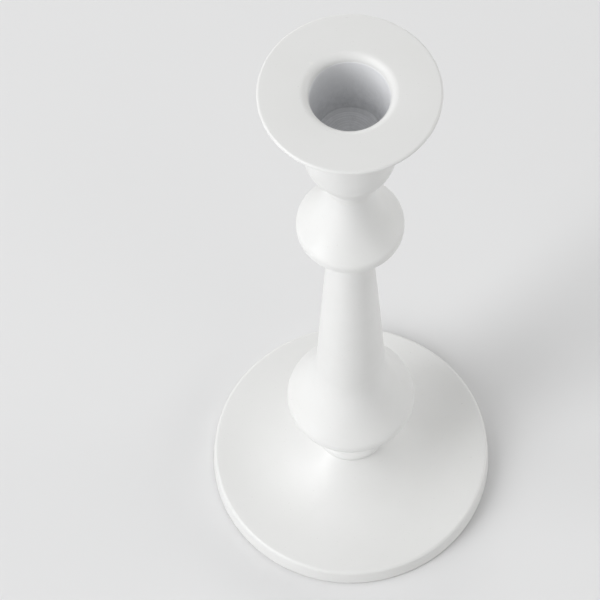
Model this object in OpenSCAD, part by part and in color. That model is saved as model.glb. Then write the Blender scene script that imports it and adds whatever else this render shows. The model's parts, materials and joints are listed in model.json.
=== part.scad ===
// Turned wooden candlestick for one dinner candle.
// Millimetres, +Z up, origin at the centre of the resting face.
// Eight pieces: the base, stem, knop, cup and drip pan are turned and glued together,
// a dowel joins the stem, knop and cup, and a screw and a felt pad close the base.

/* [Overall] */
// Height from the resting face to the top of the drip pan
total_h = 237.5; // [234:0.5:242]
// Height of the widest edge of the knop
knop_z = 163.1; // [161.5:0.1:165.5]
// Height of the widest edge of the bell at the foot of the stem
bell_z = 48.5; // [46.5:0.1:51]

/* [Candle socket] */
// Diameter of the socket where it is straight, for a candle of 22 mm
socket_d = 22.7; // [22.2:0.1:23.4]
// Diameter of the socket's flat floor
socket_floor_d = 19.4; // [18:0.1:21]
// Depth of the socket below the top of the pan
socket_depth = 24; // [20:0.5:26]
// Length of the straight part of the socket inside the cup
socket_straight = 9; // [6:0.5:10]
// Radius of the rounded mouth
mouth_r = 2.8; // [1.6:0.1:2.8]

/* [Drip pan] */
// Diameter of the drip pan
pan_d = 51.6; // [46:0.1:58]
// Thickness of the pan where it meets the cup
pan_t = 3.8; // [3.6:0.1:4.2]
// Thickness of the pan at its rim
pan_rim_t = 1.7; // [1.4:0.1:2]

/* [Cup] */
// Diameter of the cup under the pan
cup_top_d = 31; // [30.4:0.1:33]
// Diameter of the cup where its side turns under
cup_d = 27; // [26.4:0.1:27.6]
// Height at which the cup's side turns under
cup_turn_z = 206.5; // [206:0.5:207.5]
// Radius of the round underside of the cup
cup_under_r = 17.2; // [16.8:0.1:18]
// Angle from upright of the straight slope between the cup and its neck
cup_slope = 28; // [26:1:34]
// Radius of the hollow between the slope and the neck
neck_hollow_r = 8; // [6:0.5:9]

/* [Knop] */
// Diameter of the knop at its widest edge
knop_d = 32.1; // [30:0.1:34]
// Diameter of the neck between the knop and the cup
neck_d = 14; // [13.6:0.1:15]
// Height of the joint between the stem and the knop
knop_foot_z = 151.5; // [150.5:0.5:152.5]
// Height of the joint between the knop and the cup, where the neck is narrowest
knop_top_z = 187; // [185.5:0.5:187]
// Radius of the knop's edge below its widest height
knop_edge_r = 1.9; // [1.5:0.1:2.1]
// Radius of the knop's shoulder above its widest height
knop_shoulder_r = 3; // [2:0.5:8]

/* [Stem] */
// Diameter of the column just under the knop
column_top_d = 13.3; // [12.8:0.1:14]
// Diameter of the column where the bell starts to flare
column_foot_d = 21.6; // [20:0.1:22]
// Height at which the bell starts to flare
flare_z = 77.5; // [75:0.5:83]
// Diameter of the bell at its widest edge
bell_d = 41.6; // [40:0.1:43]
// Radius of the bell's edge below its widest height
bell_edge_r = 1.3; // [1:0.1:1.6]
// Radius of the bell's shoulder above its widest height
bell_shoulder_r = 5; // [3:0.5:12]
// Diameter of the waist between the bell and the collar
waist_d = 18.4; // [17.8:0.1:18.6]

/* [Base] */
// Diameter of the base
base_d = 93.5; // [90:0.5:98]
// Height of the base's rim above the base's lower face
base_rim_h = 7.1; // [5:0.1:8]
// Angle by which the rim's side leans in from upright
rim_lean = 5; // [0:1:14]
// Radius of the rim's upper edge
base_edge_r = 1.2; // [0.6:0.1:2.2]
// Slope of the base's top where it meets the rim
rim_slope = 4; // [0:1:8]
// Diameter of the rounded collar on top of the base
collar_d = 23.4; // [22.8:0.1:24]
// Height of the collar's top, where the stem stands
collar_z = 24.8; // [24:0.1:26]
// Thickness of the collar
collar_t = 3.4; // [2.8:0.1:3.4]

/* [Joinery] */
// Diameter of the stem's tenon
tenon_d = 15; // [14:0.5:16]
// Length of the stem's tenon
tenon_l = 13; // [11:0.5:14]
// Diameter of the dowel
dowel_d = 6; // [5:0.5:6]
// Length of the dowel
dowel_l = 72; // [66:1:73]
// Gap left for glue around the tenon and the dowel
glue_gap = 0.1; // [0.05:0.05:0.15]
// Thread diameter of the base screw
screw_d = 4; // [3.5:0.5:4]
// Length of the base screw
screw_l = 25; // [22:1:27]
// Head diameter of the base screw
screw_head_d = 8; // [7.5:0.5:8]
// Diameter of the felt pad
pad_d = 84; // [76:1:85]
// Thickness of the felt pad
pad_t = 2; // [1.8:0.1:2.2]
// Distance that the felt pad stands out below the base
pad_out = 0.5; // [0.3:0.1:0.8]

/* [Hidden] */

paint = [0.90, 0.90, 0.88];
bare_wood = [0.80, 0.66, 0.46];
steel = [0.72, 0.73, 0.74];
felt = [0.55, 0.53, 0.50];

ROUND = 96;               // facets of a full circle in the preview
ARC_STEP = 9;             // largest angle between two points of an arc
eps = 0.5;                // how far a cutter runs past the face it opens

base_z = pad_out;         // lower face of the base
pan_z = total_h - pan_t;  // joint between the cup and the pan
floor_z = total_h - socket_depth;
straight_z = pan_z - socket_straight;

ring_step = 2.2;          // from the cup's top edge in to the ring that centres the pan
rebate_d = cup_top_d - 2 * ring_step;
rebate_h = 1.2;
rebate_gap = 0.08;

tenon_z = collar_z - tenon_l;
mortise_spare = 1;        // room for glue below the tenon
dowel_foot_z = knop_foot_z - 21;
dowel_top_z = dowel_foot_z + dowel_l;
dowel_spare = 1;          // room for glue at each end of the dowel
dowel_chamfer = 0.8;
flutes = 12;
flute_r = 0.35;

pad_recess_d = pad_d + 1;
screw_sunk = 2.6;         // depth of the screw's head inside the base
screw_head_z = base_z + screw_sunk;
screw_head_h = 2.4;
screw_gap = 0.2;          // gap around the screw in the base
sink_gap = 0.1;           // gap around the screw's head in its countersink
thread_gap = 0.02;        // gap around the thread in the tenon
pilot_spare = 1;          // room beyond the screw's tip
thread_pitch = 1.8;
thread_depth = 0.55;
drive_w = 1;              // width and depth of the screw's cross slot
drive_l = 4.6;
drive_depth = 1.6;

// Points of an arc around [cx, cz] from angle a0 to angle a1, both ends included
function arc(cx, cz, r, a0, a1) =
    let (steps = max(1, ceil(abs(a1 - a0) / ARC_STEP)))
    [for (i = [0:steps]) let (a = a0 + (a1 - a0) * i / steps) [cx + r * cos(a), cz + r * sin(a)]];

// Points of a hollow that leaves radius r0 upright at height z0 and flares out to [r1, z1]
function cove(r0, z0, r1, z1) =
    let (w = r1 - r0, h = abs(z1 - z0), r = (w * w + h * h) / (2 * w), sweep = asin(h / r))
    let (steps = max(4, ceil(sweep / (ARC_STEP / 2))), side = sign(z1 - z0))
    [for (i = [0:steps]) let (a = sweep * i / steps) [r0 + r - r * cos(a), z0 + side * r * sin(a)]];

// Points of an S-curve that starts upright at [r1, z1], rounds over a shoulder of radius
// shoulder_r and runs up a hollow that ends upright at the smaller radius r0 and height z0
function ogee(r1, z1, shoulder_r, r0, z0) =
    let (turn = 2 * atan((r1 - r0) / (z0 - z1)), hollow_r = (z0 - z1) / sin(turn) - shoulder_r)
    let (steps = ceil(turn / (ARC_STEP / 2)), hollow_c = r0 + hollow_r)
    concat(
        arc(r1 - shoulder_r, z1, shoulder_r, 0, turn),
        [for (i = [1:steps]) let (a = turn - turn * i / steps)
            [hollow_c - hollow_r * cos(a), z0 - hollow_r * sin(a)]]
    );

module turned(points) {
    rotate_extrude($fn = ROUND) polygon(points);
}

module hole(d, z0, z1) {
    translate([0, 0, z0]) cylinder(d = d, h = z1 - z0, $fn = ROUND);
}

// Trumpet-shaped foot with a collar, a mortise from above and a screw hole from below
module base() {
    rim_r = base_d / 2;
    rim_z = base_z + base_rim_h;
    collar_r = collar_d / 2;
    bead_r = collar_t / 2;      // the collar's side is a half round
    bead_start = -60;           // angle at which the hollow meets the collar
    throat_r = collar_r - bead_r + bead_r * cos(bead_start);
    throat_z = collar_z - bead_r + bead_r * sin(bead_start);
    foot_edge = 0.5;
    edge_start_z = rim_z - base_edge_r * (1 - sin(rim_lean));
    edge_start_r = rim_r - (edge_start_z - base_z - foot_edge) * tan(rim_lean);
    edge_c = edge_start_r - base_edge_r * cos(rim_lean);
    land = 4;                   // straight stretch between the hollow and the rim's edge
    hollow_w = edge_c - land - throat_r;
    hollow_foot_z = rim_z + land * tan(rim_slope);
    hollow_h = throat_z - hollow_foot_z;
    throat_slope = 2 * atan(hollow_h / hollow_w) - rim_slope;
    hollow_r = norm([hollow_w, hollow_h]) / (2 * sin((throat_slope - rim_slope) / 2));
    hollow_c = [throat_r + hollow_r * sin(throat_slope), throat_z + hollow_r * cos(throat_slope)];
    outline = concat(
        [[0, base_z], [rim_r - foot_edge, base_z], [rim_r, base_z + foot_edge]],
        arc(edge_c, rim_z - base_edge_r, base_edge_r, rim_lean, 90 - rim_slope),
        arc(hollow_c[0], hollow_c[1], hollow_r, 270 - rim_slope, 270 - throat_slope),
        arc(collar_r - bead_r, collar_z - bead_r, bead_r, bead_start, 90),
        [[0, collar_z]]
    );
    color(paint) difference() {
        turned(outline);
        hole(tenon_d + 2 * glue_gap, tenon_z - mortise_spare, collar_z + eps);
        hole(pad_recess_d, base_z - eps, pad_t);
        hole(screw_d + 2 * screw_gap, pad_t - eps, tenon_z);
        hole(screw_head_d + 2 * screw_gap, pad_t - eps, screw_head_z);
        translate([0, 0, screw_head_z]) cylinder(
            d1 = screw_head_d + 2 * sink_gap, d2 = screw_d + 2 * sink_gap, h = screw_head_h, $fn = ROUND);
    }
}

// Column and lower bell in one turning, with a tenon below and a dowel hole above
module stem() {
    top_r = column_top_d / 2;
    bell_r = bell_d / 2;
    waist_r = waist_d / 2;
    tenon_r = tenon_d / 2;
    tenon_edge = 0.8;
    edge_c = bell_r - bell_edge_r;
    waist_z = collar_z + 3;
    waist_flare = 0.4;    // how much the waist widens down to the collar
    outline = concat(
        [[0, tenon_z], [tenon_r - tenon_edge, tenon_z], [tenon_r, tenon_z + tenon_edge],
         [tenon_r, collar_z], [waist_r + waist_flare, collar_z]],
        cove(waist_r, waist_z, edge_c, bell_z - bell_edge_r),
        arc(edge_c, bell_z, bell_edge_r, -81, -9),
        ogee(bell_r, bell_z, bell_shoulder_r, column_foot_d / 2, flare_z),
        [[top_r, knop_foot_z], [0, knop_foot_z]]
    );
    color(paint) difference() {
        turned(outline);
        hole(dowel_d + 2 * glue_gap, dowel_foot_z - dowel_spare, knop_foot_z + eps);
        hole(screw_d + 2 * thread_gap, tenon_z - eps, screw_head_z + screw_l + pilot_spare);
    }
}

// Bell-shaped knop on top of the column, drilled through for the dowel
module knop() {
    edge_c = knop_d / 2 - knop_edge_r;
    half_land = 0.55;     // half the height of the upright edge
    neck_r = neck_d / 2;
    foot_r = column_top_d / 2;
    outline = concat(
        [[0, knop_foot_z]],
        cove(foot_r, knop_foot_z, edge_c, knop_z - half_land - knop_edge_r),
        arc(edge_c, knop_z - half_land, knop_edge_r, -81, 0),
        ogee(knop_d / 2, knop_z + half_land, knop_shoulder_r, neck_r, knop_top_z),
        [[0, knop_top_z]]
    );
    color(paint) difference() {
        turned(outline);
        hole(dowel_d + 2 * glue_gap, knop_foot_z - eps, knop_top_z + eps);
    }
}

// Cup with the candle socket, a ring that centres the pan and a blind dowel hole below
module cup() {
    neck_r = neck_d / 2;
    under_c = cup_d / 2 - cup_under_r;
    slope_top = [under_c + cup_under_r * cos(cup_slope), cup_turn_z - cup_under_r * sin(cup_slope)];
    slope_foot_r = neck_r + neck_hollow_r * (1 - cos(cup_slope));
    slope_foot_z = slope_top[1] - (slope_top[0] - slope_foot_r) / tan(cup_slope);
    hollow_z = slope_foot_z - neck_hollow_r * sin(cup_slope);
    ring_r = rebate_d / 2;
    outline = concat(
        [[0, knop_top_z], [neck_r, knop_top_z]],
        arc(neck_r + neck_hollow_r, hollow_z, neck_hollow_r, 180, 180 - cup_slope),
        arc(under_c, cup_turn_z, cup_under_r, -cup_slope, 0),
        [[cup_top_d / 2, pan_z], [ring_r, pan_z], [ring_r, pan_z + rebate_h], [0, pan_z + rebate_h]]
    );
    color(paint) difference() {
        turned(outline);
        hole(socket_d, straight_z, pan_z + rebate_h + eps);
        translate([0, 0, floor_z])
            cylinder(d1 = socket_floor_d, d2 = socket_d, h = straight_z - floor_z, $fn = ROUND);
        hole(dowel_d + 2 * glue_gap, knop_top_z - eps, dowel_top_z + dowel_spare);
    }
}

// Flat drip pan with a rounded socket mouth and a rebate that drops over the cup's ring
module drip_pan() {
    rim_r = pan_d / 2;
    edge_r = 0.8;
    bore_r = socket_d / 2;
    under_z = total_h - pan_rim_t;
    outline = concat(
        [[bore_r, pan_z], [cup_top_d / 2, pan_z]],
        arc(rim_r - edge_r, under_z + edge_r, edge_r, -90, 0),
        arc(rim_r - edge_r, total_h - edge_r, edge_r, 0, 90),
        arc(bore_r + mouth_r, total_h - mouth_r, mouth_r, 90, 180)
    );
    color(paint) difference() {
        turned(outline);
        hole(rebate_d + 2 * rebate_gap, pan_z - eps, pan_z + rebate_h + rebate_gap);
    }
}

// Fluted dowel through the knop, with its ends in the stem and the cup
module stem_dowel() {
    r = dowel_d / 2;
    color(bare_wood) difference() {
        turned([[0, dowel_foot_z], [r - dowel_chamfer, dowel_foot_z], [r, dowel_foot_z + dowel_chamfer],
                [r, dowel_top_z - dowel_chamfer], [r - dowel_chamfer, dowel_top_z], [0, dowel_top_z]]);
        for (i = [0:flutes - 1])
            rotate(i * 360 / flutes) translate([r, 0, dowel_foot_z - eps])
                cylinder(r = flute_r, h = dowel_l + 2 * eps, $fn = 16);
    }
}

// Countersunk wood screw, head down, with its thread as a row of ridges
module base_screw() {
    crest_r = screw_d / 2;
    core_r = crest_r - thread_depth;
    shank_z = screw_head_z + screw_head_h;
    plain_l = 6;
    tip_l = 4;
    tip_z = screw_head_z + screw_l;
    thread_z = shank_z + plain_l;
    ridges = floor((tip_z - tip_l - thread_z) / thread_pitch);
    ridge = [for (i = [0:ridges - 1], p = [[core_r, 0.1], [crest_r, 0.5], [core_r, 0.9]])
        [p[0], thread_z + (i + p[1]) * thread_pitch]];
    outline = concat(
        [[0, screw_head_z], [screw_head_d / 2, screw_head_z], [crest_r, shank_z], [crest_r, thread_z - 0.3]],
        ridge,
        [[core_r, tip_z - tip_l], [0, tip_z]]
    );
    color(steel) difference() {
        turned(outline);
        for (turn = [0, 90])
            rotate(turn) translate([-drive_l / 2, -drive_w / 2, screw_head_z - eps])
                cube([drive_l, drive_w, drive_depth + eps]);
    }
}

// Felt disc in the base's recess, on which the candlestick stands
module base_pad() {
    color(felt) hole(pad_d, 0, pad_t);
}

base();
stem();
knop();
cup();
drip_pan();
stem_dowel();
base_screw();
base_pad();
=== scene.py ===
"""A turned wooden candlestick in satin white paint: five turned pieces, the dowel and screw that hold
them, a felt pad, and a soft pale studio. The turned pieces take their shapes from their CAD nodes."""
import json
import math

import bmesh
import bpy
from mathutils import Matrix, Vector, noise


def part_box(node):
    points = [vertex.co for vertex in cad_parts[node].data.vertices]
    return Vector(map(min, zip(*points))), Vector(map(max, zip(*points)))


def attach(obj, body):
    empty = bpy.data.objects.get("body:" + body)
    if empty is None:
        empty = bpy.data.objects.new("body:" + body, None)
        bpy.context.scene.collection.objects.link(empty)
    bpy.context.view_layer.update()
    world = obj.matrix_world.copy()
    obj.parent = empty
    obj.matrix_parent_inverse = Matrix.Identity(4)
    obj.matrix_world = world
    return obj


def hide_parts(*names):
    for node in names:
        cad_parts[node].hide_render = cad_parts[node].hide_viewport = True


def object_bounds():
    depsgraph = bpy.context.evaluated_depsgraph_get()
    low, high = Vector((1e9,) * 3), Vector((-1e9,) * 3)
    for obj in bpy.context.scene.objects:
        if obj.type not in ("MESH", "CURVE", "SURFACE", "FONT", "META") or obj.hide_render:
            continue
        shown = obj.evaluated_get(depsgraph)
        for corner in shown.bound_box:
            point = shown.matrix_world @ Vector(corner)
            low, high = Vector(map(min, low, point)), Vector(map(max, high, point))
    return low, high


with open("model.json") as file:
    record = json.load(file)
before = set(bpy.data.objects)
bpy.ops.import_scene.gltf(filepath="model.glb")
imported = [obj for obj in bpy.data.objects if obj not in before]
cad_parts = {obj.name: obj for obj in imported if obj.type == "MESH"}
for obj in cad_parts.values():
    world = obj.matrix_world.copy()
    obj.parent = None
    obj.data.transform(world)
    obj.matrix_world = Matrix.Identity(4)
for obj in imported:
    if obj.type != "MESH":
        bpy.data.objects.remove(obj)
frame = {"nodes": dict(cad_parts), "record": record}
cad_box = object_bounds()

MM = 0.001
SEGMENTS = 192            # steps round a turned piece
TOUCHING = 1e-6           # points closer than this, in metres, are one point
SOCKET_DEPTH = 24 * MM    # from the top of the pan to the socket's floor

pan_top_z = cad_box[1][2]
socket = next(m for m in frame["record"]["mounts"] if m["name"] == "candle_socket")
socket_r = socket["dims"]["r_mm"] * MM
socket_mouth_z = socket["pos_m"][2]
socket_floor_z = pan_top_z - SOCKET_DEPTH


# ---------------------------------------------------------------- camera
def make_camera():
    """A long lens that looks down on the candlestick from in front, tilted a little."""
    aim = Vector((-15.6, 0, 116)) * MM
    distance = 0.9858
    elevation = math.radians(62.13)
    roll = math.radians(-1.91)
    data = bpy.data.cameras.new("camera")
    data.sensor_width = 36
    data.lens = 191.4
    data.clip_start = 0.05
    camera = bpy.data.objects.new("camera", data)
    bpy.context.scene.collection.objects.link(camera)
    back = Vector((0, -math.cos(elevation), math.sin(elevation)))
    camera.location = aim + back * distance
    turn = Matrix.Rotation(math.pi / 2 - elevation, 4, "X") @ Matrix.Rotation(roll, 4, "Z")
    camera.rotation_euler = turn.to_euler()
    bpy.context.scene.camera = camera


make_camera()


# ---------------------------------------------------------------- outlines of the turned pieces
def section(part):
    """The outline of a CAD node's half section as (radius, height) points in order, and whether it is a ring.
    An outline that isn't a ring begins and ends on the axis."""
    bm = bmesh.new()
    bm.from_mesh(frame["nodes"][part].data)
    bmesh.ops.remove_doubles(bm, verts=bm.verts, dist=TOUCHING)
    geometry = bm.verts[:] + bm.edges[:] + bm.faces[:]
    cut = bmesh.ops.bisect_plane(bm, geom=geometry, dist=1e-7, plane_co=(0, 0, 0), plane_no=(0, 1, 0))
    edges = [e for e in cut["geom_cut"] if isinstance(e, bmesh.types.BMEdge)]
    edges = [e for e in edges if min(v.co.x for v in e.verts) > -TOUCHING]
    edges = [e for e in edges if max(v.co.x for v in e.verts) > TOUCHING]
    links = {}
    for edge in edges:
        a, b = edge.verts
        links.setdefault(a, []).append(b)
        links.setdefault(b, []).append(a)
    ends = [v for v, near in links.items() if len(near) == 1]
    start = min(ends or links, key=lambda v: (v.co.z, v.co.x))
    path, last, here = [start], None, start
    while True:
        ahead = [v for v in links[here] if v is not last]
        if not ahead or ahead[0] is start:
            break
        last, here = here, ahead[0]
        path.append(here)
    points = [(max(0.0, v.co.x), v.co.z) for v in path]
    bm.free()
    if ends:
        points = [(0.0, points[0][1])] + points + [(0.0, points[-1][1])]
    return points, not ends


def corners(points, closed):
    """The outline without repeated points and points that only split a straight stretch."""
    least_turn = math.radians(0.8)
    kept = []
    count = len(points)
    for i, p in enumerate(points):
        before = Vector(kept[-1] if kept else points[i - 1])
        here = Vector(p)
        after = Vector(points[(i + 1) % count])
        at_end = not closed and i in (0, count - 1)
        if at_end and (not kept or (here - before).length > TOUCHING):
            kept.append(p)
        elif not at_end and (here - before).length > TOUCHING and (after - here).length > TOUCHING:
            if (here - before).angle(after - here, 0.0) > least_turn:
                kept.append(p)
    return kept


def smooth_outline(points, closed, sharp=math.radians(24), step=0.6 * MM, soften=0.05 * MM):
    """The outline in fine steps: curved where the CAD steps round a curve, softly broken at real edges."""
    count = len(points)
    pts = [Vector(p) for p in points]

    def at(i):
        return pts[i % count] if closed else pts[min(max(i, 0), count - 1)]

    def is_edge(i):
        if not closed and i in (0, count - 1):
            return True
        return (at(i) - at(i - 1)).angle(at(i + 1) - at(i), 0.0) > sharp

    edge = [is_edge(i) for i in range(count)]
    out = []
    for i in range(count if closed else count - 1):
        p, q = at(i), at(i + 1)
        length = (q - p).length
        along = (q - p) / length
        edge_q = edge[(i + 1) % count]
        # a curved stretch leaves each end along the mean of the two chords that meet there
        tangent_p = along if edge[i] else ((p - at(i - 1)).normalized() + along).normalized()
        tangent_q = along if edge_q else ((at(i + 2) - q).normalized() + along).normalized()
        straight = tangent_p.angle(tangent_q, 0.0) < math.radians(0.5)
        # a straight stretch needs fewer steps, and no edge takes more than 0.3 of a stretch
        steps = max(2, math.ceil(length / (step * (5 if straight else 1))))
        first = min(soften / length, 0.3) if edge[i] else 0.0
        final = 1 - (min(soften / length, 0.3) if edge_q else 0.0)
        for k in range(steps + 1):
            t = first + (final - first) * k / steps
            point = (
                p * (2 * t**3 - 3 * t**2 + 1)
                + tangent_p * length * (t**3 - 2 * t**2 + t)
                + q * (3 * t**2 - 2 * t**3)
                + tangent_q * length * (t**3 - t**2)
            )
            if not out or (point - out[-1]).length > TOUCHING:
                out.append(point)
    if closed and (out[0] - out[-1]).length < TOUCHING:
        out.pop()
    if not closed:
        out[0].x = out[-1].x = 0.0
    return [(max(0.0, v.x), v.y) for v in out]


# ---------------------------------------------------------------- turning
def lathe(name, outline, closed, relief, segments=SEGMENTS):
    """A piece made by sweeping the outline round Z; relief(point) raises its surface along the normal."""
    bm = bmesh.new()
    turns = [2 * math.pi * i / segments for i in range(segments)]
    rings = []
    for r, z in outline:
        places = [(r * math.cos(a), r * math.sin(a), z) for a in turns]
        if r < TOUCHING:
            places = [(0, 0, z)]
        rings.append([bm.verts.new(p) for p in places])
    pairs = list(zip(rings, rings[1:])) + ([(rings[-1], rings[0])] if closed else [])
    for low, high in pairs:
        for i in range(segments):
            j = i + 1
            around = (low[i % len(low)], low[j % len(low)], high[j % len(high)], high[i % len(high)])
            face = list(dict.fromkeys(around))
            if len(face) > 2:
                bm.faces.new(face)
    bmesh.ops.recalc_face_normals(bm, faces=bm.faces)
    bm.normal_update()
    lifts = [v.normal * relief(v.co) for v in bm.verts]
    for v, lift in zip(bm.verts, lifts):
        v.co += lift
    mesh = bpy.data.meshes.new(name)
    bm.to_mesh(mesh)
    bm.free()
    mesh.shade_smooth()
    piece = bpy.data.objects.new(name, mesh)
    bpy.context.scene.collection.objects.link(piece)
    return piece


def hand_turned(point):
    """The slight unevenness that scraping and sanding on the lathe leave under the paint: broad swells of
    about 22 mm, and fine rings of about 2 mm that run round the axis."""
    swells_per_m, rings_per_m = 45, 500
    swell_height, ring_height = 0.035 * MM, 0.012 * MM
    along = Vector((math.hypot(point.x, point.y) * rings_per_m, 3.7, point.z * rings_per_m))
    return swell_height * noise.noise(point * swells_per_m) + ring_height * noise.noise(along)


def join_frame(piece, part):
    """Puts a new piece in the frame in place of the CAD node called part."""
    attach(piece, "root")
    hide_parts(part)


def turned(part, material, inside=None):
    """A turned and painted piece; the second material goes on the wall and floor of the candle socket."""
    points, closed = section(part)
    outline = smooth_outline(corners(points, closed), closed)
    piece = lathe("turned_" + part, outline, closed, hand_turned)
    piece.data.materials.append(material)
    if inside:
        piece.data.materials.append(inside)
        for face in piece.data.polygons:
            face.material_index = int(in_socket(face.center))
    join_frame(piece, part)


def in_socket(point):
    """Whether a point on the cup lies on the socket's wall or floor."""
    slack = 0.2 * MM
    return math.hypot(point.x, point.y) < socket_r + slack and point.z > socket_floor_z - slack


# ---------------------------------------------------------------- material helpers
def new_material(name):
    material = bpy.data.materials.new(name)
    material.use_nodes = True
    return material, material.node_tree, material.node_tree.nodes["Principled BSDF"]


def add(tree, kind, inputs, **settings):
    """A new shader node. inputs maps a socket's name or number to a value, or to the output that feeds it."""
    made = tree.nodes.new("ShaderNode" + kind)
    for key, value in settings.items():
        setattr(made, key, value)
    for key, value in inputs.items():
        if isinstance(value, bpy.types.NodeSocket):
            tree.links.new(value, made.inputs[key])
        else:
            made.inputs[key].default_value = value
    return made


def position(tree):
    return add(tree, "TexCoord", {}).outputs["Object"]


def grain(tree, where, size, detail=2.0):
    """Noise from 0 to 1 whose marks measure about size = (x, y, z) metres."""
    scaled = add(tree, "VectorMath", {0: where, 1: [1 / s for s in size]}, operation="MULTIPLY")
    return add(tree, "TexNoise", {"Vector": scaled.outputs[0], "Scale": 1.0, "Detail": detail}).outputs["Fac"]


def radius_of(tree, where):
    level = add(tree, "VectorMath", {0: where, 1: (1, 1, 0)}, operation="MULTIPLY")
    return add(tree, "VectorMath", {0: level.outputs[0]}, operation="LENGTH").outputs["Value"]


def height_of(tree, where):
    return add(tree, "SeparateXYZ", {0: where}).outputs["Z"]


def turning_marks(tree, where, width):
    """Noise that changes along the outline and hardly round the axis, as marks made on a lathe do."""
    along = add(tree, "CombineXYZ", {"X": radius_of(tree, where), "Z": height_of(tree, where)})
    drift = add(tree, "VectorMath", {0: where, 1: (0.02, 0.02, 0)}, operation="MULTIPLY")
    track = add(tree, "VectorMath", {0: along.outputs[0], 1: drift.outputs[0]}, operation="ADD")
    return grain(tree, track.outputs[0], (width,) * 3, detail=3.0)


def ramp(tree, value, low, high, to_low, to_high):
    """value from low..high to to_low..to_high, held at the ends."""
    inputs = {"Value": value, "From Min": low, "From Max": high, "To Min": to_low, "To Max": to_high}
    return add(tree, "MapRange", inputs).outputs["Result"]


def blend(tree, share, a, b):
    """Colour a where share is 0 and colour b where it is 1."""
    factor, a_colour, b_colour = 0, 6, 7
    return add(tree, "Mix", {factor: share, a_colour: a, b_colour: b}, data_type="RGBA").outputs[2]


def bump(tree, height, depth, below=None):
    """A normal that shows height, from 0 to 1, as relief of the given depth in metres."""
    inputs = {"Height": height, "Distance": depth, "Strength": 1.0}
    if below:
        inputs["Normal"] = below
    return add(tree, "Bump", inputs).outputs["Normal"]


# ---------------------------------------------------------------- materials
PAINT = (0.750, 0.750, 0.739, 1)
PAINT_SHADED = (0.720, 0.720, 0.705, 1)     # where the coat is thinner or a little dusty
PAINT_RUBBED = (0.785, 0.780, 0.758, 1)     # burnished by handling
PAINT_SPECK = (0.45, 0.44, 0.42, 1)         # specks of dust in the coat
PAINT_CREASE_SHADE = (0.62, 0.61, 0.58, 1)        # painted shade, darkening the paint in creases where two turnings meet
SOCKET_PAINT_LIT = (0.830, 0.835, 0.845, 1)     # painted light: the coat just below the socket's mouth, lighter than the paint outside it
SOCKET_GREY_SHADED = (0.64, 0.645, 0.658, 1)       # thin overspray on raw wood, made darker as painted shade deep in the socket
# painted shade: a darker tone of the same overspray deep in the socket
SOCKET_DARK_SHADED = (0.57, 0.575, 0.587, 1)
SOCKET_PORE = (0.40, 0.403, 0.415, 1)
BEECH_PALE = (0.68, 0.48, 0.29, 1)
BEECH_TAN = (0.56, 0.36, 0.20, 1)
BEECH_FIBRE = (0.50, 0.31, 0.16, 1)
BEECH_FLECK = (0.30, 0.16, 0.07, 1)
ZINC_BLUE = (0.60, 0.62, 0.66, 1)
ZINC_WARM = (0.74, 0.74, 0.72, 1)
FELT_DARK = (0.10, 0.095, 0.085, 1)
FELT_LIGHT = (0.22, 0.21, 0.19, 1)
FLOOR_DARK = (0.735, 0.735, 0.735, 1)
FLOOR_LIGHT = (0.745, 0.745, 0.745, 1)


def satin_paint(name, grain_size):
    """White satin paint over turned wood; the grain and the lathe's marks show through faintly, and painted
    shade darkens its creases.
    """
    material, tree, shader = new_material(name)
    where = position(tree)
    cloud = grain(tree, where, (16 * MM,) * 3, detail=4.0)
    marks = turning_marks(tree, where, 0.9 * MM)
    fibres = grain(tree, where, grain_size)
    peel = grain(tree, where, (1.1 * MM,) * 3, detail=1.0)
    dust = grain(tree, where, (0.35 * MM,) * 3, detail=0.0)

    colour = blend(tree, ramp(tree, cloud, 0.35, 0.7, 0, 0.5), PAINT, PAINT_SHADED)
    ridge = add(tree, "NewGeometry", {}).outputs["Pointiness"]
    colour = blend(tree, ramp(tree, ridge, 0.52, 0.60, 0, 0.6), colour, PAINT_RUBBED)
    colour = blend(tree, ramp(tree, dust, 0.82, 0.87, 0, 0.4), colour, PAINT_SPECK)
    # painted shade: ambient occlusion darkens the paint in creases and under overhangs
    crease_shade = add(tree, "AmbientOcclusion", {"Distance": 3 * MM}, samples=4).outputs["AO"]
    colour = blend(tree, ramp(tree, crease_shade, 0.2, 0.75, 0.35, 0), colour, PAINT_CREASE_SHADE)
    tree.links.new(colour, shader.inputs["Base Color"])

    roughness = ramp(tree, cloud, 0.3, 0.7, 0.36, 0.48)
    tree.links.new(roughness, shader.inputs["Roughness"])

    normal = bump(tree, fibres, 0.012 * MM)
    normal = bump(tree, marks, 0.010 * MM, normal)
    normal = bump(tree, peel, 0.010 * MM, normal)
    tree.links.new(normal, shader.inputs["Normal"])
    return material


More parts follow.
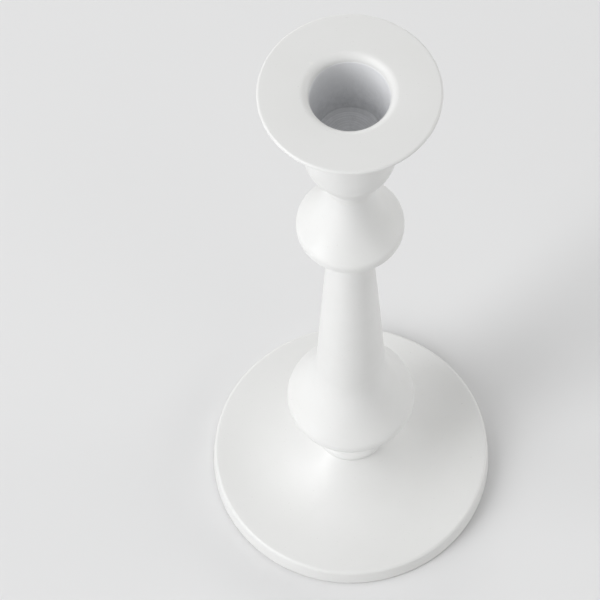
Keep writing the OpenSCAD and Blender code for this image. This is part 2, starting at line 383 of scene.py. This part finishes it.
def socket_paint_and_shade():
    """The candle socket's wall and floor: the paint thins out downward over bare, drill-marked wood; painted
    light makes it lighter just below the mouth, and painted shade makes it darker downward.
    """
    material, tree, shader = new_material("paint_and_shade_in_socket")
    where = position(tree)
    height = height_of(tree, where)
    # painted shade: the wall darkens from 5 mm to 18 mm below the mouth; above that, painted light keeps it
    # lighter
    depth = ramp(tree, height, socket_mouth_z - 18 * MM, socket_mouth_z - 5 * MM, 1, 0)
    on_floor = ramp(tree, height, socket_floor_z + 0.2 * MM, socket_floor_z + 0.8 * MM, 1, 0)
    blotch = grain(tree, where, (1.6 * MM,) * 3, detail=3.0)
    pores = grain(tree, where, (0.30 * MM, 0.30 * MM, 2 * MM), detail=2.0)
    drill_marks = turning_marks(tree, where, 0.35 * MM)
    worn_and_shaded = blend(tree, ramp(tree, blotch, 0.35, 0.7, 0, 1), SOCKET_GREY_SHADED, SOCKET_DARK_SHADED)
    scored = blend(tree, ramp(tree, drill_marks, 0.38, 0.68, 0, 0.45), worn_and_shaded, SOCKET_PORE)
    worn_and_shaded = blend(tree, on_floor, worn_and_shaded, scored)
    worn_and_shaded = blend(tree, ramp(tree, pores, 0.58, 0.78, 0, 0.4), worn_and_shaded, SOCKET_PORE)
    colour = blend(tree, depth, SOCKET_PAINT_LIT, worn_and_shaded)
    tree.links.new(colour, shader.inputs["Base Color"])
    tree.links.new(ramp(tree, depth, 0, 1, 0.45, 0.85), shader.inputs["Roughness"])
    normal = bump(tree, pores, 0.04 * MM)
    normal = bump(tree, drill_marks, 0.010 * MM, normal)
    tree.links.new(normal, shader.inputs["Normal"])
    return material


def beech():
    """Bare beech along Z: fine straight grain, short dark flecks and duller ends."""
    material, tree, shader = new_material("bare_beech")
    where = position(tree)
    rings = grain(tree, where, (1.4 * MM, 1.4 * MM, 60 * MM), detail=3.0)
    fibres = grain(tree, where, (0.18 * MM, 0.18 * MM, 6 * MM), detail=2.0)
    flecks = grain(tree, where, (0.25 * MM, 0.25 * MM, 1.6 * MM), detail=0.0)
    colour = blend(tree, rings, BEECH_TAN, BEECH_PALE)
    colour = blend(tree, ramp(tree, fibres, 0.4, 0.7, 0, 0.4), colour, BEECH_FIBRE)
    colour = blend(tree, ramp(tree, flecks, 0.66, 0.74, 0, 0.7), colour, BEECH_FLECK)
    tree.links.new(colour, shader.inputs["Base Color"])
    tree.links.new(ramp(tree, fibres, 0.3, 0.7, 0.55, 0.75), shader.inputs["Roughness"])
    tree.links.new(bump(tree, fibres, 0.03 * MM), shader.inputs["Normal"])
    return material


def zinc():
    """Zinc-plated steel: a bright, slightly mottled plating with fine scratches."""
    material, tree, shader = new_material("zinc_plated_steel")
    where = position(tree)
    mottle = grain(tree, where, (0.8 * MM,) * 3, detail=4.0)
    scratches = grain(tree, where, (0.05 * MM, 0.8 * MM, 0.05 * MM), detail=1.0)
    colour = blend(tree, mottle, ZINC_BLUE, ZINC_WARM)
    shader.inputs["Metallic"].default_value = 1.0
    tree.links.new(colour, shader.inputs["Base Color"])
    tree.links.new(ramp(tree, mottle, 0.3, 0.7, 0.26, 0.42), shader.inputs["Roughness"])
    tree.links.new(bump(tree, scratches, 0.006 * MM), shader.inputs["Normal"])
    return material


def felt():
    """Pressed wool felt: short matted fibres of a few greys, soft at a glancing view."""
    material, tree, shader = new_material("wool_felt")
    where = position(tree)
    lay = grain(tree, where, (5 * MM,) * 3, detail=1.0)
    fibres_x = grain(tree, where, (1.6 * MM, 0.12 * MM, 0.12 * MM), detail=3.0)
    fibres_y = grain(tree, where, (0.12 * MM, 1.6 * MM, 0.12 * MM), detail=3.0)
    factor, a_value, b_value = 0, 2, 3
    woven = add(tree, "Mix", {factor: lay, a_value: fibres_x, b_value: fibres_y}, data_type="FLOAT")
    mat = woven.outputs[0]
    colour = blend(tree, ramp(tree, mat, 0.3, 0.7, 0, 1), FELT_DARK, FELT_LIGHT)
    tree.links.new(colour, shader.inputs["Base Color"])
    shader.inputs["Roughness"].default_value = 1.0
    shader.inputs["Sheen Weight"].default_value = 0.35
    tree.links.new(bump(tree, mat, 0.12 * MM), shader.inputs["Normal"])
    return material


# ---------------------------------------------------------------- painted pieces
UPRIGHT_GRAIN = (0.45 * MM, 0.45 * MM, 14 * MM)
LEVEL_GRAIN = (14 * MM, 0.45 * MM, 0.45 * MM)

spindle_paint = satin_paint("satin_paint_spindle", UPRIGHT_GRAIN)
disc_paint = satin_paint("satin_paint_disc", LEVEL_GRAIN)

turned("base", disc_paint)
turned("stem", spindle_paint)
turned("knop", spindle_paint)
turned("cup", spindle_paint, inside=socket_paint_and_shade())
turned("drip_pan", disc_paint)

# the dowel's CAD shape is right as it is, flutes and all
dowel_wood = beech()
for slot in frame["nodes"]["stem_dowel"].material_slots:
    slot.material = dowel_wood


# ---------------------------------------------------------------- screw
def wood_screw():
    """A countersunk screw, head down, with a helical thread, a gimlet point and a cross recess."""
    low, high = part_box("base_screw")
    head_r, foot_z, tip_z = high[0], low[2], high[2]
    head_h, plain_l, tip_l = 2.4 * MM, 6 * MM, 4 * MM
    crest_r, core_r, pitch = 2.0 * MM, 1.45 * MM, 1.8 * MM
    recess_r, recess_half_w, recess_depth = 2.3 * MM, 0.5 * MM, 1.5 * MM
    head_edge, runout, face_slack = 0.1 * MM, 0.6 * MM, 0.02 * MM
    ridge_half_w = 0.28       # as a share of the pitch
    shank_z = foot_z + head_h
    thread_z = shank_z + plain_l
    fine = 0.12 * MM

    def stretch(a, b):
        steps = math.ceil(math.dist(a, b) / fine)
        shares = [i / steps for i in range(steps)]
        return [(a[0] + (b[0] - a[0]) * t, a[1] + (b[1] - a[1]) * t) for t in shares]

    stops = [
        (0, foot_z), (head_r - head_edge, foot_z), (head_r, foot_z + head_edge), (crest_r, shank_z),
        (crest_r, thread_z), (core_r, thread_z + runout), (core_r, tip_z - tip_l), (0, tip_z),
    ]
    outline = [p for a, b in zip(stops, stops[1:]) for p in stretch(a, b)] + [stops[-1]]

    def relief(point):
        x, y, z = point
        if z < foot_z + face_slack:
            in_cross = min(abs(x), abs(y)) < recess_half_w and max(abs(x), abs(y)) < recess_r
            return -recess_depth if in_cross else 0
        if z < thread_z:
            return 0
        phase = (z / pitch - math.atan2(y, x) / (2 * math.pi)) % 1
        ridge = max(0, 1 - abs(phase - 0.5) / ridge_half_w)
        fade = min(1, (z - thread_z) / pitch, (tip_z - z) / tip_l)
        return (crest_r - core_r) * ridge * fade

    piece = lathe("wood_screw", outline, False, relief, segments=72)
    piece.data.materials.append(zinc())
    join_frame(piece, "base_screw")


wood_screw()


# ---------------------------------------------------------------- felt pad
def felt_pad():
    """A disc cut from felt, with a soft cut edge and an uneven, matted face."""
    low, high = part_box("base_pad")
    r, foot_z, top_z = high[0], low[2], high[2]
    edge = 0.5 * MM
    side = []
    for degrees in range(-90, 91, 15):
        a = math.radians(degrees)
        middle_z = foot_z + edge if a < 0 else top_z - edge
        side.append((r - edge + edge * math.cos(a), middle_z + edge * math.sin(a)))
    steps = 90
    face = [((r - edge) * i / steps, foot_z) for i in range(steps)]
    outline = face + side + [(p[0], top_z) for p in reversed(face)]

    def matted(point):
        depth, tufts_per_m = 0.10 * MM, 900
        fade_w, fade_least = 2 * MM, 0.4
        fade = min(1, (r - math.hypot(point.x, point.y)) / fade_w + fade_least)
        return -depth * (0.5 + 0.5 * noise.noise(point * tufts_per_m)) * fade

    piece = lathe("felt_pad", outline, False, matted)
    piece.data.materials.append(felt())
    join_frame(piece, "base_pad")


felt_pad()


# ---------------------------------------------------------------- studio
def floor():
    """A plain pale matt surface under the candlestick."""
    reach = 3.0
    corners_xy = [(-reach, -reach), (reach, -reach), (reach, reach), (-reach, reach)]
    mesh = bpy.data.meshes.new("floor")
    mesh.from_pydata([(x, y, 0) for x, y in corners_xy], [], [(0, 1, 2, 3)])
    made = bpy.data.objects.new("floor", mesh)
    bpy.context.scene.collection.objects.link(made)
    material, tree, shader = new_material("pale_floor")
    cloud = grain(tree, position(tree), (80 * MM,) * 3, detail=3.0)
    colour = blend(tree, cloud, FLOOR_DARK, FLOOR_LIGHT)
    tree.links.new(colour, shader.inputs["Base Color"])
    shader.inputs["Roughness"].default_value = 0.85
    mesh.materials.append(material)


COOL = (0.985, 0.990, 1.0)
NEUTRAL = (1.0, 1.0, 0.995)


def soft_light(name, azimuth, elevation, width, height, energy, colour=NEUTRAL, distance=3.0):
    """A soft panel that faces the candlestick; azimuth 0 is in front of it, and 90 to its right."""
    target = Vector((0, 0, 0.45 * pan_top_z))
    a, e = math.radians(azimuth), math.radians(elevation)
    towards = Vector((math.cos(e) * math.sin(a), -math.cos(e) * math.cos(a), math.sin(e)))
    light = bpy.data.lights.new(name, "AREA")
    light.shape = "RECTANGLE"
    light.size, light.size_y = width, height
    light.energy = energy
    light.color = colour
    lamp = bpy.data.objects.new(name, light)
    bpy.context.scene.collection.objects.link(lamp)
    lamp.location = target + towards * distance
    lamp.rotation_euler = (-towards).to_track_quat("-Z", "Y").to_euler()


def studio():
    """A tall window-like panel on the left, low fills around, and an even pale surround."""
    floor()
    soft_light("key", azimuth=300, elevation=34, width=1.1, height=2.8, energy=61.5, colour=COOL)
    soft_light("key_side", azimuth=270, elevation=38, width=1.3, height=1.3, energy=13.6, colour=COOL)
    soft_light("fill_right", azimuth=105, elevation=13, width=2.2, height=1.0, energy=22.2)
    soft_light("fill_back", azimuth=190, elevation=13, width=3.2, height=1.0, energy=26)
    soft_light("fill_front", azimuth=35, elevation=13, width=1.5, height=1.0, energy=5.8)
    soft_light("overhead", azimuth=60, elevation=75, width=1.8, height=1.8, energy=7.9)
    world = bpy.data.worlds.new("studio")
    bpy.context.scene.world = world
    world.use_nodes = True
    background = world.node_tree.nodes["Background"]
    background.inputs["Color"].default_value = (1, 1, 1, 1)
    background.inputs["Strength"].default_value = 0.397
    bpy.context.scene.view_settings.view_transform = "Standard"


studio()
